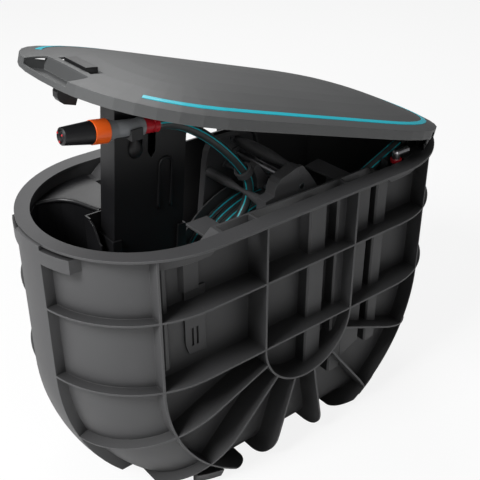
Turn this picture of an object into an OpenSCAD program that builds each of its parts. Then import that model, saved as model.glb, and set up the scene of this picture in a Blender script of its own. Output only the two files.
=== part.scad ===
// Retractable garden hose box: a ribbed tub with a hinged lid, a hose reel and a rising nozzle tower.
// Frame: X along the tub with the hinge at +X, Y across it, Z up, origin on the floor under the tub's middle.
// The lid is drawn open, as far as its hinge lets it go.

/* [Tub] */
// Length over the rim
rim_len = 792; // [780:1:820]
// Width over the rim
rim_wid = 400; // [396:1:420]
// Height from the floor to the rim
tub_h = 504; // [496:1:530]
// Width of the rim band along the sides
rim_band = 31; // [28:1:34]
// Width of the rim band at the ends
rim_end_band = 23; // [20:1:25]
// Thickness of the rim band
rim_t = 4; // [3:0.5:5]
// Wall thickness of the moulding
wall_t = 4; // [3:0.5:5]
// Radius of the round ends over the rib edges
rib_r = 190; // [188:1:194]
// Depth of the ribs on the round ends
end_depth = 17; // [14:1:20]
// Depth of the ribs on the long sides
side_depth = 46; // [40:1:47]
// Height of the bottom wall above the floor
bottom_gap = 8; // [6:1:12]
// Radius of the long bottom edges
edge_r = 55; // [45:1:60]
// Depth of the ledge below the rim
ledge_drop = 26; // [22:1:28]

/* [Ribs] */
// Thickness of the ribs
rib_t = 3.5; // [2.5:0.5:4.5]
// Distance of the upper flange below the rim
flange_drop = 111; // [100:1:120]
// Height of the fan centre below the rim
fan_drop = 240; // [232:1:250]
// Radius of the outer curved rib
fan_r = 287; // [280:1:290]
// Radius of the inner curved rib
loop_r = 97; // [90:1:104]
// Half width of the flat band round the ends
band_half = 35; // [25:1:45]
// Angles of the radial ribs below the long axis
fan_angles = [21, 45, 73, 100, 127, 156];

/* [Lid] */
// Length of the lid
lid_len = 760; // [740:1:770]
// Width of the lid
lid_wid = 392; // [384:1:396]
// Length of the lid's curved ends
lid_end = 235; // [215:1:245]
// Height of the skirt
skirt_h = 16; // [14:1:20]
// Height of the dome over the skirt
crown_h = 22; // [18:1:26]
// Thickness of the lid
lid_t = 3; // [2.5:0.5:4]
// Gap between the closed lid and the rim
lid_gap = 1; // [0.5:0.5:2]
// Opening angle of the lid
lid_open = 17.4; // [10:0.1:17.8]
// Distance of the hinge axis from the middle
hinge_x = 366; // [364:1:367]
// Height of the hinge axis over the rim
hinge_up = 8; // [7:0.5:9]
// Diameter of the hinge pin
hinge_pin_d = 5; // [4:0.5:6]
// Inset of the trim strip from the lid's edge
trim_inset = 19; // [15:1:24]
// Width of the trim strip
trim_w = 9; // [6:1:10]

/* [Hinge leaves] */
// Thickness of a leaf
leaf_t = 2.4; // [2:0.2:3]
// Gap between two leaves
leaf_gap = 0.6; // [0.4:0.1:0.8]
// Height of a leaf
leaf_h = 10; // [8:1:11]

/* [Tower] */
// Width of the tower
tower_w = 131; // [110:1:134]
// Depth of the tower
tower_d = 40; // [30:1:44]
// Length of the tower
tower_len = 320; // [280:1:330]
// Lean of the tower
tower_lean = 5; // [4:0.5:6]
// Height of the raised tower over the rim
tower_up = 173; // [170:1:174]
// Wall of the tower
tower_t = 3; // [2:0.5:4]

/* [Nozzle] */
// Diameter of the nozzle ring
nozzle_d = 36; // [30:1:40]
// Diameter of the nozzle's front
nozzle_tip_d = 26; // [20:1:30]
// Diameter of the nozzle's grip
grip_d = 25; // [20:1:26]
// Tilt of the nozzle
nozzle_tilt = 8; // [6:1:10]

/* [Reel] */
// Distance of the reel axis from the middle
reel_x = 50; // [46:1:54]
// Height of the reel axis
reel_z = 262; // [258:1:266]
// Diameter of the reel's discs
disc_d = 368; // [360:1:370]
// Thickness of the reel's discs
disc_t = 3; // [2:0.5:4]
// Diameter of the reel's hub
hub_d = 200; // [160:1:220]
// Diameter of the axle
axle_d = 24; // [20:1:30]
// Thickness of the side plates
plate_t = 3; // [2.5:0.5:4]
// Depth of the side plates' borders
border_d = 18; // [12:1:20]

/* [Hose] */
// Outer diameter of the hose
hose_d = 17.5; // [16:0.5:17.5]
// Turns in the outer layer
hose_turns = 4.2; // [3.2:0.5:4.2]
// Pitch of the turns
hose_pitch = 18; // [18:0.1:18.4]

/* [Gears] */
// Module of the guide gears
gear_module = 3; // [2.98:0.01:3.02]
// Teeth of the reel gear
reel_teeth = 50; // [48:1:52]
// Teeth of the idler gear
idler_teeth = 42; // [40:2:44]
// Teeth of the screw gear
pinion_teeth = 20; // [19:1:21]
// Width of the gears
gear_w = 8; // [5:1:9]

/* [Hidden] */

$fn = 96;
fine = 0.3;
running = 0.05;
far = 1000;

// Plan of the tub
fan_z = tub_h - fan_drop;
end_s = rim_len / 2 + 5 - rib_r;
wall_r = rib_r - end_depth;
side_y = rib_r - side_depth;
ledge_z = tub_h - ledge_drop;
rim_in_r = rim_wid / 2 - rim_band;
rim_in_s = rim_len / 2 - rim_end_band - rim_in_r;
floor_z = bottom_gap + wall_t;
inner_side_y = side_y - wall_t;

// Hand grips and side sockets, as distances from the band and below the rim
grip_to = 88;
grip_high = 9;
grip_low = 32;
socket_low = 92;

// Lid
lid_s = lid_len / 2 - lid_end;
lid_b = lid_wid / 2;
skirt_z = tub_h + lid_gap;
crease_z = skirt_z + skirt_h;
hinge_z = tub_h + hinge_up;
dome_power = 2.5;
outline_power = 2.6;

// Finger opening
mouth_x = 14 - lid_len / 2;
mouth_back = mouth_x + 25;
mouth_r = 62;

// Lock and latch
lock_x = -321;
lock_y = 0;
lock_w = 20;
lock_len = 91;
latch_y = 12;
latch_pin_d = 5;
latch_pos = [45 - lid_len / 2, tub_h - 6];

// Tower
tower_x = -176;
tower_y = 8;
tower_top = tub_h + tower_up;
tower_front = tower_y - tower_d / 2;
lug_w = 30;
lug_d = 24;
lug_h = 11;
lift_pin_d = 8;
lift_pin_up = 4;
pin_play = 1.3;
ear_in = lug_d / 2 + 0.5;
ear_t = 3.5;
slide_gap = 0.5;

// Nozzle, measured from its rear end along its own axis
nozzle_x = -208;
nozzle_y = -28;
nozzle_z = tub_h + 131;
bell_start = 46;
ring_start = 62;
ring_len = 24;
tip_len = 49;
coupling_len = 26;

// Reel, listed across the tub from the near side
near_y = -116;
disc_near_y = -91.5;
disc_far_y = 41;
far_y = 48;
far_plate_y = far_y + 14;
gear_y = far_plate_y + 3;
case_y = gear_y + gear_w + 3;
case_d = 200;
case_w = 42;
inner_r = 157;
wound_r = inner_r + fine + hose_d / 2;
feed_y = -45;
plate_foot = floor_z + 2.4;

// Gear train, on one line from the reel axis to the screw
train_lean = 3;
idler_dist = gear_module * (reel_teeth + idler_teeth) / 2;
screw_dist = idler_dist + gear_module * (idler_teeth + pinion_teeth) / 2;
idler_pos = [reel_x - idler_dist * sin(train_lean), reel_z + idler_dist * cos(train_lean)];
screw_pos = [reel_x - screw_dist * sin(train_lean), reel_z + screw_dist * cos(train_lean)];
screw_d = 14;
idler_stud_d = 12;

// Hose guide: a fixed cross bar, a waisted roller, a plain rod and the screw, all from plate to plate
bar_pos = [34, tub_h + 17];
bar_end_d = 11;
bar_d = 21;
roller_pos = [-30, tub_h - 26];
roller_d = 17;
roller_waist = 8;
roller_pin_d = 8;
rod_pos = [12, tub_h - 27];
rod_d = 8;
carriage_w = 18;
eye_bore = hose_d + 3.5;
eye_d = eye_bore + 9;
eye_len = 12;

// Hose route: round an arc over the roller, then straight to the outer layer of the reel
roll_r = 60;
roll_from = -57;
roll_at = [roller_pos.x - roll_r + roller_waist / 2 + hose_d / 2 + fine, roller_pos.y];
roll_to_reel = [reel_x, reel_z] - roll_at;
roll_to = atan2(roll_to_reel.y, roll_to_reel.x) - asin((roll_r + wound_r) / norm(roll_to_reel));
lead_angle = roll_to + 270;
loop_step = 15;

module stadium(s, r) {
    square([2 * s, 2 * r], center = true);
    for (e = [-1, 1])
        translate([e * s, 0])
            circle(r);
}

// Solid with the tub's plan: straight above the fan centre, turned about the reel side to side below it.
module envelope(r) {
    translate([0, 0, fan_z])
        linear_extrude(tub_h - rim_t / 2 - fan_z)
            stadium(end_s, r);
    translate([0, 0, fan_z])
        rotate([-90, 0, 0])
            rotate_extrude(angle = 180)
                intersection() {
                    stadium(end_s, r);
                    translate([0, -r])
                        square([end_s + r, 2 * r]);
                }
}

// Straight prism along the tub with rounded lower edges.
module long_section(half, bottom, r, top) {
    translate([-far / 2, 0, 0])
        rotate([90, 0, 90])
            linear_extrude(far) {
                translate([-half, bottom + r])
                    square([2 * half, top - bottom - r]);
                translate([r - half, bottom])
                    square([2 * (half - r), top - bottom]);
                for (e = [-1, 1])
                    translate([e * (half - r), bottom + r])
                        circle(r);
            }
}

// Upright U-shaped outline seen from the side, r wide from the fan centre.
module u_outline(r, top) {
    circle(r);
    translate([-r, 0])
        square([2 * r, top - fan_z]);
}

module across(y0, y1) {
    translate([0, y1, fan_z])
        rotate([90, 0, 0])
            linear_extrude(y1 - y0)
                children();
}

module recess(r, half, bottom, edge, top) {
    difference() {
        across(-far / 4, far / 4)
            u_outline(r, top);
        long_section(half, bottom, edge, far);
    }
}

module u_rib(r) {
    difference() {
        u_outline(r + rib_t / 2, far);
        u_outline(r - rib_t / 2, far + 1);
    }
}

module rib_pattern() {
    for (z = [fan_drop - flange_drop, 0])
        translate([-far / 2, z - rib_t / 2])
            square([far, rib_t]);
    u_rib(fan_r);
    u_rib(loop_r);
    for (a = fan_angles)
        rotate(180 + a)
            translate([loop_r, -rib_t / 2])
                square([far / 2, rib_t]);
}

// Upright round-edged pillars on the long sides, listed by their left and right edges, foot and front.
pillars = [[12, 50, -346, 167], [76, 106, -388, 165], [-274, -262, -215, 157], [170, 198, -362, 164]];

module pillar(x0, x1, foot, front) {
    bevel = 3;
    translate([0, 0, tub_h + foot])
        linear_extrude(-foot - ledge_drop)
            polygon([[x0, bevel - front], [x0 + bevel, -front], [x1 - bevel, -front], [x1, bevel - front],
                [x1, -inner_side_y], [x0, -inner_side_y]]);
}

module flat_box() {
    across(-163, -inner_side_y)
        polygon([[106, -128], [151, -109], [154, fan_drop - ledge_drop], [106, fan_drop - ledge_drop]]);
}

// Socket with a bevelled foot and a slotted leg below it.
module side_bracket() {
    left = -235;
    right = -188;
    front = 152;
    translate([0, 0, tub_h])
        linear_extrude(2 * socket_low, center = true)
            socket_plan(left, right, front);
    across(-front + 4, -inner_side_y)
        difference() {
            translate([0, -tub_h + fan_drop])
                polygon([[left + 8, tub_h - socket_low], [left + 8, tub_h - 192], [left + 14, tub_h - 213],
                    [right, tub_h - 216], [right, tub_h - socket_low]]);
            for (x = [left + 20, left + 29])
                translate([x, fan_drop - 200])
                    square([4, 34]);
        }
}

module socket_plan(left, right, front) {
    polygon([[left, 8 - front], [left + 6, -front], [right - 14, -front], [right - 14, 8 - front],
        [right, 8 - front], [right, -inner_side_y], [left, -inner_side_y]]);
}

module side_details() {
    for (p = pillars)
        pillar(p[0], p[1], p[2], p[3]);
    flat_box();
    side_bracket();
}

module tub_outside() {
    intersection() {
        envelope(rib_r);
        long_section(rib_r, 0, edge_r, far);
        union() {
            across(-far / 4, far / 4)
                rib_pattern();
            translate([-far / 2, -band_half, 0])
                cube([far, 2 * band_half, far]);
            for (m = [0, 1])
                mirror([0, m, 0])
                    side_details();
            grip_block();
            for (x = [-1, 1], y = [-1, 1])
                translate([x * 195 - 22, y * 156 - 16, 0])
                    cube([44, 32, 30]);
        }
    }
    difference() {
        intersection() {
            envelope(wall_r);
            long_section(wall_r, bottom_gap, edge_r - 10, far);
        }
        recess(fan_r - rib_t / 2, side_y, bottom_gap, edge_r - 15, ledge_z - wall_t);
    }
}

// Hand grips beside the flat band at the free end.
module grip_block() {
    for (m = [0, 1])
        mirror([0, m, 0])
            translate([-far / 2, -grip_to, tub_h - grip_low])
                cube([far / 2, grip_to - band_half + 1, grip_low - grip_high]);
}

module tub_inside() {
    difference() {
        intersection() {
            envelope(wall_r - wall_t);
            long_section(wall_r - wall_t, floor_z, edge_r - 14, far);
        }
        recess(fan_r - rib_t / 2 + wall_t, inner_side_y, floor_z, edge_r - 19, ledge_z);
    }
}

// Short shelf on the near wall's ledge.
module tub_shelf() {
    translate([-170, -side_y, ledge_z - wall_t])
        cube([41, side_y - 77, wall_t]);
}

module tub() {
    color("dimgray") {
        tub_shelf();
        difference() {
            union() {
                tub_outside();
                translate([0, 0, tub_h - rim_t])
                    linear_extrude(rim_t)
                        stadium(rim_len / 2 - rim_wid / 2, rim_wid / 2);
            }
            difference() {
                tub_inside();
                translate([-far / 2, -far / 2, tub_h - rim_t])
                    cube([far, far, far]);
            }
            translate([0, 0, tub_h - rim_t - 1])
                linear_extrude(rim_t + 2)
                    stadium(rim_in_s, rim_in_r);
        }
    }
}

// Faces of a skin of rings with n points each, closed by a cap at either end.
function skin_faces(count, n) = [
    for (r = [0:count - 2], i = [0:n - 1])
        let (a = r * n + i, b = r * n + (i + 1) % n)
            each [[a, b, b + n], [a, b + n, a + n]],
    [for (i = [n - 1:-1:0]) i],
    [for (i = [0:n - 1]) (count - 1) * n + i]
];

// Edge of the lid in plan: two superellipse ends joined by straight sides, drawn from its two half axes.
edge_steps = 20;
function edge_xy(e, a, ax, ay) =
    let (q = 2 / outline_power)
        [e * (lid_s + ax * pow(abs(cos(a)), q)), e * ay * sign(a) * pow(abs(sin(a)), q)];
function dome_level(x, y) =
    pow(pow(max(abs(x) - lid_s, 0) / lid_end, outline_power) + pow(abs(y) / lid_b, outline_power), 1 / outline_power);
function dome_z(x, y) = crease_z + crown_h * (1 - pow(min(dome_level(x, y), 1), dome_power));
function edge_ring(ax, ay) = [
    for (e = [1, -1], i = [0:edge_steps])
        edge_xy(e, 180 * i / edge_steps - 90, ax, ay)
];
function dome_ring(level, drop) = [
    for (p = edge_ring(lid_end * level, lid_b * level)) [p.x, p.y, dome_z(p.x, p.y) - drop]
];
function flat_ring(inset, z) = [for (p = edge_ring(lid_end - inset, lid_b - inset)) [p.x, p.y, z]];

dome_levels = [0.15, 0.35, 0.55, 0.75, 0.9, 0.97];

module open_by(a) {
    translate([hinge_x, 0, hinge_z])
        rotate([0, a, 0])
            translate([-hinge_x, 0, -hinge_z])
                children();
}

module lid_blank() {
    levels = len(dome_levels);
    rings = [
        for (i = [0:levels - 2]) dome_ring(dome_levels[i], lid_t),
        [for (p = edge_ring(lid_end - lid_t, lid_b - lid_t)) [p.x, p.y, dome_z(p.x, p.y) - lid_t]],
        flat_ring(lid_t, skirt_z),
        flat_ring(0, skirt_z),
        flat_ring(0, crease_z),
        for (i = [levels - 1:-1:0]) dome_ring(dome_levels[i], 0)
    ];
    points = [for (r = rings) each r];
    polyhedron(points, skin_faces(len(rings), len(rings[0])));
}

// Trim path: from the near side round the hinge end to the far side, as pairs of an end and an angle.
trim_from = 46;
trim_to = -34;
trim_path = concat(
    [for (i = [0:5]) [-1, trim_from + (90 - trim_from) * i / 5]],
    [for (i = [0:edge_steps]) [1, 180 * i / edge_steps - 90]],
    [for (i = [0:6]) [-1, -90 + (90 + trim_to) * i / 6]]
);

module trim_band(grow, low, high) {
    rings = [
        for (t = trim_path)
            let (
                o = edge_xy(t[0], t[1], lid_end - trim_inset + grow, lid_b - trim_inset + grow),
                i = edge_xy(t[0], t[1], lid_end - trim_inset - trim_w - grow, lid_b - trim_inset - trim_w - grow)
            )
                [
                    [o.x, o.y, dome_z(o.x, o.y) + low],
                    [o.x, o.y, dome_z(o.x, o.y) + high],
                    [i.x, i.y, dome_z(i.x, i.y) + high],
                    [i.x, i.y, dome_z(i.x, i.y) + low]
                ]
    ];
    polyhedron([for (r = rings) each r], skin_faces(len(rings), 4));
}

module lid_shell() {
    groove = 1.5;
    hinge_relief = 36;
    inlet_relief = 82;
    color("dimgray")
        open_by(lid_open) {
            knuckle(lid_knuckle_y, 7, lid_len / 2 - hinge_x - 1.5);
            difference() {
                lid_blank();
                trim_band(0.2, -groove, 2);
                translate([hinge_x - hinge_relief, -lid_b, skirt_z - 1])
                    cube([far, 2 * lid_b, 6]);
                translate([hinge_x - inlet_relief, -lid_b, skirt_z - 1])
                    cube([24, 60, 12]);
                mouth_cut();
                translate([lock_x - lock_w / 2, lock_y - lock_len / 2, skirt_z])
                    cube([lock_w, lock_len, far]);
            }
        }
}

// Finger opening in the lid's free end, between the dome and a low front lip.
module mouth_cut() {
    translate([mouth_x, 0, skirt_z + 8])
        intersection() {
            cylinder(h = far, r = mouth_r);
            translate([-15, -mouth_r, 0])
                cube([mouth_back - mouth_x + 15, 2 * mouth_r, far]);
        }
}

module lid_trim() {
    color("darkturquoise")
        open_by(lid_open)
            trim_band(0, -1.4, 0.5);
}

// Slotted ears under the lid in which the tower's lift pin rides.
module lid_bracket() {
    plate_z = dome_z(-216, 30) - lid_t - 3 - fine;
    color("dimgray")
        open_by(lid_open)
            difference() {
                union() {
                    translate([-216, tower_y - 22, plate_z])
                        cube([40, 44, 3]);
                    for (y = [ear_in, -ear_in - ear_t])
                        translate([-214, tower_y + y, tub_h - 2])
                            cube([36, ear_t, plate_z - tub_h + 3]);
                }
                translate([0, tower_y - 30, tub_h + 7])
                    rotate([-90, 0, 0])
                        linear_extrude(60) {
                            for (x = [-204, -188])
                                translate([x, 0])
                                    circle(d = lift_pin_d + 2 * pin_play);
                            translate([-204, -lift_pin_d / 2 - pin_play])
                                square([16, lift_pin_d + 2 * pin_play]);
                        }
            }
}

// Band of the hinge end between two insets of the lid's edge, from x_min on.
module end_band(in0, in1, z0, z1, x_min) {
    translate([0, 0, z0])
        linear_extrude(z1 - z0)
            intersection() {
                polygon(concat(
                    [for (i = [0:edge_steps]) edge_xy(1, 180 * i / edge_steps - 90, lid_end - in0, lid_b - in0)],
                    [for (i = [edge_steps:-1:0]) edge_xy(1, 180 * i / edge_steps - 90, lid_end - in1, lid_b - in1)]
                ));
                translate([x_min, -lid_b])
                    square([far, 2 * lid_b]);
            }
}

leaf_pitch = leaf_t + leaf_gap;
leaf_start = 284;
knuckle_r = 4.6;

knuckle_w = 5;
lid_knuckle_y = 24;
leaf_knuckle_y = 32;
knuckle_pitch = 6;
pin_half = leaf_knuckle_y + knuckle_pitch + knuckle_w + 0.5;

module knuckle(y, w, reach) {
    for (m = [0, 1])
        mirror([0, m, 0])
            translate([hinge_x, y, hinge_z])
                difference() {
                    union() {
                        rotate([-90, 0, 0])
                            cylinder(h = w, r = knuckle_r);
                        translate([0, 0, -2])
                            cube([reach, w, 4]);
                    }
                    translate([0, -1, 0])
                        rotate([-90, 0, 0])
                            cylinder(h = w + 2, r = hinge_pin_d / 2 + running);
                }
}

module leaf(k, share) {
    in0 = lid_t + leaf_gap + k * leaf_pitch;
    z0 = tub_h + 4 - k;
    y0 = leaf_knuckle_y + knuckle_pitch * k;
    open_by(lid_open * share) {
        difference() {
            end_band(in0, in0 + leaf_t, z0, z0 + leaf_h, leaf_start);
            translate([hinge_x - 20, -y0, tub_h - 5])
                cube([40, 2 * y0, 40]);
            translate([hinge_x, 0, hinge_z])
                rotate([-90, 0, 0])
                    cylinder(h = 2 * pin_half + 2, r = hinge_pin_d / 2 + running, center = true);
        }
        knuckle(y0, knuckle_w, lid_len / 2 - hinge_x - in0 - 2.4);
    }
}

module hinge_leaf_1() {
    color("dimgray")
        leaf(0, 2 / 3);
}

module hinge_leaf_2() {
    color("dimgray")
        leaf(1, 1 / 3);
}

module hinge_ear() {
    in0 = lid_t + leaf_gap + 2 * leaf_pitch;
    color("dimgray")
        difference() {
            end_band(in0, in0 + leaf_t, tub_h, tub_h + leaf_h + 2, leaf_start);
            translate([leaf_start, -70, tub_h - 1])
                cube([110, 140, 20]);
        }
}

module hinge_bracket() {
    color("dimgray")
        difference() {
            union() {
                translate([hinge_x - 7, -23, tub_h - 16])
                    cube([11, 46, 16]);
                translate([hinge_x - 7, -23, tub_h])
                    cube([16, 46, 2]);
                for (y = [-23, 12])
                    translate([hinge_x, y, hinge_z]) {
                        rotate([-90, 0, 0])
                            cylinder(h = 11, r = knuckle_r);
                        translate([-knuckle_r, 0, -hinge_up])
                            cube([2 * knuckle_r, 11, hinge_up]);
                    }
            }
            translate([hinge_x, -30, hinge_z])
                rotate([-90, 0, 0])
                    cylinder(h = 60, d = hinge_pin_d);
        }
}

module hinge_pin() {
    color("silver")
        translate([hinge_x, -pin_half, hinge_z])
            rotate([-90, 0, 0])
                cylinder(h = 2 * pin_half, d = hinge_pin_d);
}

// Insert with a deep well at the free end of the tub; the well's rim falls towards the near side.
tray_z = ledge_z;
tray_deep = 130;
tray_wall = 3;
well_y = 110;
well_outline = [
    [-far / 2, -well_y], [-246, -well_y], [-246, 26], [-255, 61], [-266, 96], [-281, 117], [-303, 127], [-322, 129],
    [-far / 2, 129]
];
// Upper edge of the well seen along the tub: level at the far side, then falling to the near side
well_brow = [
    [24, tray_z + 20], [24, tray_z], [14, tray_z - 6], [6, tray_z - 18], [0, tray_z - 30], [-26, tray_z - 40],
    [-108, tray_z - 80], [-far / 4, tray_z - 80], [-far / 4, tray_z + 20]
];

tower_gap = 4.5;
guide_wall = 4;
notch_back = 103;

module well_plan(inset) {
    difference() {
        intersection() {
            stadium(end_s, wall_r - wall_t - fine - inset);
            polygon(shrunk(well_outline, inset));
        }
        tower_notch(inset);
    }
}

module tower_notch(grow) {
    half = tower_d / 2 + guide_wall + tower_gap + grow;
    translate([tower_x - notch_back - grow, tower_y - half])
        square([far, 2 * half]);
}

module storage_tray() {
    color("#202020")
        difference() {
            union() {
                translate([0, 0, tray_z - tray_deep])
                    linear_extrude(tray_deep + tray_wall)
                        well_plan(0);
                intersection() {
                    translate([0, 0, tray_z])
                        linear_extrude(tray_wall)
                            stadium(end_s, wall_r - wall_t - fine);
                    translate([-far / 2, -far / 2, 0])
                        cube([far / 2 - 206, far, far]);
                }
            }
            translate([0, 0, tray_z - tray_deep + tray_wall])
                linear_extrude(tray_deep + 10)
                    well_plan(tray_wall);
            translate([0, 0, tray_z - 1])
                linear_extrude(20)
                    tower_notch(0);
            translate([-290, nozzle_y - 26, tray_z - 66])
                cube([90, 48, 90]);
            translate([-246, -far / 2, tray_z - 1])
                cube([60, far / 2 - 42, 10]);
            translate([-far / 2, 0, 0])
                rotate([90, 0, 90])
                    linear_extrude(far / 2)
                        polygon(well_brow);
        }
}

// Corner cover over the water inlet, let into the rim band, with an open corner over the connector.
module connector_cover() {
    color("dimgray")
        difference() {
            union() {
                translate([0, 0, tub_h - 3])
                    linear_extrude(3)
                        cover_plan(0);
                translate([0, 0, ledge_z])
                    linear_extrude(ledge_drop - 2)
                        difference() {
                            cover_plan(0);
                            cover_plan(2.5);
                            translate([180, -138])
                                square([90, 60]);
                        }
            }
            translate([0, 0, tub_h - 10])
                linear_extrude(20)
                    polygon([[208, -141], [232, -144], [232, -170], [190, -172]]);
        }
}

module cover_plan(inset) {
    intersection() {
        stadium(rim_in_s, rim_in_r - fine - inset);
        polygon([[200 + inset, -180], [200 + inset, -140 - inset], [262 + inset, -140 - inset],
            [262 + inset, -106 - inset], [292 - inset, -106 - inset], [292 - inset, -180]]);
    }
}

module in_tower() {
    translate([tower_x, tower_y, tower_top])
        rotate([0, tower_lean, 0])
            children();
}

module tower_shell() {
    color("#1c1c1c")
        in_tower()
            difference() {
                union() {
                    translate([-tower_w / 2, -tower_d / 2, -tower_len])
                        cube([tower_w, tower_d, tower_len]);
                    translate([-lug_w / 2, -lug_d / 2, -1])
                        cube([lug_w, lug_d, lug_h + 1]);
                }
                translate([tower_t - tower_w / 2, tower_t - tower_d / 2, -tower_len - 1])
                    cube([tower_w - 2 * tower_t, tower_d - 2 * tower_t, tower_len - 2 * tower_t]);
                translate([0, -lug_d, lift_pin_up])
                    rotate([-90, 0, 0])
                        cylinder(h = 2 * lug_d, d = lift_pin_d);
                tower_windows();
                for (y = [ear_in - slide_gap, -ear_in - ear_t - slide_gap])
                    translate([-28, y, -12])
                        cube([56, ear_t + 2 * slide_gap, 13]);
            }
}

// Openings in the tower's front wall: a hook window and a long slot that ends in a point.
module tower_windows() {
    translate([0, -tower_d / 2 + tower_t + 1, 0])
        rotate([90, 0, 0])
            linear_extrude(tower_t + 2) {
                polygon([[-34, -52], [-16, -52], [-16, -84], [-25, -84], [-34, -72]]);
                polygon([[-6, -52], [8, -52], [8, -96], [1, -106], [-6, -96]]);
            }
}

module tower_pin() {
    color("silver")
        in_tower()
            translate([0, -ear_in - ear_t - 0.4, lift_pin_up])
                rotate([-90, 0, 0])
                    cylinder(h = 2 * (ear_in + ear_t + 0.4), d = lift_pin_d);
}

// Upright channel that the tower slides in, standing on the tub's floor.
module tower_guide() {
    guide_t = 4;
    lip = 12;
    w = tower_w + 2 * slide_gap + 2 * guide_t;
    d = tower_d + 2 * slide_gap + 2 * guide_t;
    color("#262626")
        intersection() {
            in_tower()
                translate([0, 0, -800])
                    linear_extrude(800 - tower_up - 60)
                        difference() {
                            square([w, d], center = true);
                            square([w - 2 * guide_t, d - 2 * guide_t], center = true);
                            translate([-w / 2 + guide_t + lip, -d])
                                square([w - 2 * guide_t - 2 * lip, d]);
                        }
            translate([-far / 2, -far / 2, floor_z])
                cube([far, far, far]);
            translate([0, -far / 2, fan_z])
                rotate([-90, 0, 0])
                    cylinder(h = far, r = end_s + wall_r - wall_t - 4);
        }
}

module in_nozzle() {
    translate([nozzle_x, nozzle_y, nozzle_z])
        rotate([0, nozzle_tilt - 90, 0])
            children();
}

module nozzle_body() {
    r = grip_d / 2;
    ring_r = nozzle_d / 2 - 1;
    color("#8f9494")
        in_nozzle()
            rotate_extrude()
                polygon([[4, 0], [r + 1, 0], [r + 1, 6], [r, 10], [r, bell_start], [ring_r, ring_start],
                    [ring_r - 4, ring_start], [4, bell_start]]);
}

module nozzle_ring() {
    color("#e8642a")
        in_nozzle()
            translate([0, 0, ring_start + running])
                difference() {
                    union() {
                        cylinder(h = ring_len, r = nozzle_d / 2);
                    }
                    translate([0, 0, ring_len - 3])
                        cylinder(h = 4, r = nozzle_d / 2 - 3);
                }
}

module nozzle_tip() {
    start = ring_start + ring_len - 3 + 2 * running;
    r0 = nozzle_d / 2 - 3 - running;
    color("#1a1a1a")
        in_nozzle()
            translate([0, 0, start])
                difference() {
                    rotate_extrude()
                        polygon([[0, 0], [r0, 0], [r0, 4], [nozzle_d / 2 - 1, 4], [nozzle_tip_d / 2, tip_len],
                            [nozzle_tip_d / 2 - 3, tip_len + 2], [nozzle_tip_d / 2 - 5, tip_len - 2],
                            [0, tip_len - 2]]);
                    for (i = [0:11])
                        rotate(30 * i)
                            translate([nozzle_d / 2 + 1.5, 0, 12])
                                rotate([0, -5, 0])
                                    cylinder(h = tip_len, r = 2.5);
                }
}

module nozzle_coupling() {
    color("#c81e28")
        in_nozzle()
            translate([0, 0, -coupling_len])
                rotate_extrude()
                    polygon([[4, 0], [12, 0], [12, 9], [10.5, 9], [10.5, 14], [12, 14], [12, coupling_len - running],
                        [4, coupling_len - running]]);
}

module nozzle_cradle() {
    r = grip_d / 2 + fine;
    color("#1c1c1c")
        difference() {
            translate([-236, tower_front - 32, tub_h + 118])
                cube([20, 32 - fine, 18]);
            in_nozzle()
                translate([0, 0, -50])
                    cylinder(h = 150, r = r + 1);
            in_tower()
                translate([-tower_w / 2 - 10, -tower_d / 2 - fine, -tower_len])
                    cube([tower_w + 20, tower_d, tower_len]);
        }
}

// A piece drawn in the XZ plane, from y0 on for h across the tub.
module slab(y0, h) {
    translate([0, y0 + h, 0])
        rotate([90, 0, 0])
            linear_extrude(h)
                children();
}

module turned(pos, y0) {
    translate([pos.x, y0, pos.y])
        rotate([-90, 0, 0])
            children();
}

function unit(v) = v / norm(v);
function shrunk(p, d) =
    let (n = len(p))
        [
            for (i = [0:n - 1])
                let (
                    u = unit(p[i] - p[(i + n - 1) % n]),
                    v = unit(p[(i + 1) % n] - p[i]),
                    a = [-u.y, u.x],
                    b = [-v.y, v.x]
                )
                    p[i] + d / (1 + a * b) * (a + b)
        ];

reel_pos = [reel_x, reel_z];
screw_end_d = 10;
bush_r = 12;
far_bush_r = axle_d / 2 + 4;
plate_rim = 3;
boss_h = 8;
head_d = 23;
head_z = tub_h - 44;
head_x = 90;
pin_in = 15;
pin_len_near = head_d + fine + pin_in - 1;
pin_len_far = far_plate_y - far_y + fine + pin_in - 1;

near_outline = [
    [-40, plate_foot], [140, plate_foot], [150, reel_z], [128, tub_h - 110], [150, tub_h - 40], [150, tub_h - 24],
    [112, tub_h - 24], [100, tub_h - 75], [85, tub_h - 42], [70, tub_h - 16], [53, tub_h + 8], [44, tub_h + 19],
    [35, tub_h + 25], [26, tub_h + 26], [-8, tub_h + 15], [-16, tub_h + 9], [-20, tub_h], [-22, tub_h - 12],
    [-40, tub_h - 16], [-40, tub_h - 124]
];
far_outline = [
    [-20, floor_z], [120, floor_z], [156, reel_z - 60], [156, reel_z + 60], [100, tub_h - 71], [78, tub_h + 14],
    [70, tub_h + 27], [-4, tub_h + 31], [-16, tub_h + 29], [-26, tub_h + 22], [-32, tub_h + 12], [-36, tub_h - 8],
    [-56, reel_z + 60], [-56, reel_z - 60]
];

module plate(outline, y0, depth, web_y, bosses) {
    boss_wall = 4;
    difference() {
        union() {
            difference() {
                slab(y0, depth)
                    polygon(outline);
                slab(web_y + plate_t, far / 2)
                    polygon(shrunk(outline, plate_rim));
            }
            for (b = bosses)
                turned(b[0], web_y)
                    cylinder(h = boss_h, r = b[1] + boss_wall);
        }
        for (b = bosses)
            turned(b[0], y0 - 1)
                cylinder(h = far / 4, r = b[1]);
    }
}

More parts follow.
